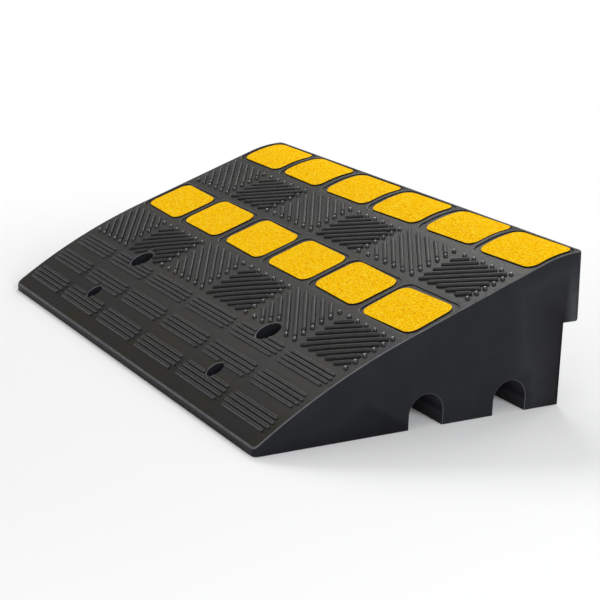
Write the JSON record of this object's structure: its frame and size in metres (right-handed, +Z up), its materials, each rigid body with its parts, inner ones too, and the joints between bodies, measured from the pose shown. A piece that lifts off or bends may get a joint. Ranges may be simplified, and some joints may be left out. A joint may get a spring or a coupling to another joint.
{
  "type": "kerb ramp",
  "caption": "Solid rubber kerb ramp with a ribbed slope, reflective pads along the crest, through channels for drainage and counterbored fixing holes.",
  "frame": {"origin": "middle of the footprint, on the ground", "axes": "+X along the kerb to the right as seen from the road, +Y up the slope towards the kerb, +Z up"},
  "size_m": [0.6, 0.36, 0.155],
  "materials": {
    "rubber": "matt moulded black rubber",
    "reflective_pad": "yellow reflective sheet with fine glass beads"
  },
  "bodies": {
    "root": {"ramp_body": "rubber", "slope_pad_1": "reflective_pad", "slope_pad_2": "reflective_pad", "slope_pad_3": "reflective_pad", "slope_pad_4": "reflective_pad", "slope_pad_5": "reflective_pad", "slope_pad_6": "reflective_pad", "crest_pad_1": "reflective_pad", "crest_pad_2": "reflective_pad", "crest_pad_3": "reflective_pad", "crest_pad_4": "reflective_pad", "crest_pad_5": "reflective_pad", "crest_pad_6": "reflective_pad"}
  },
  "joints": []
}
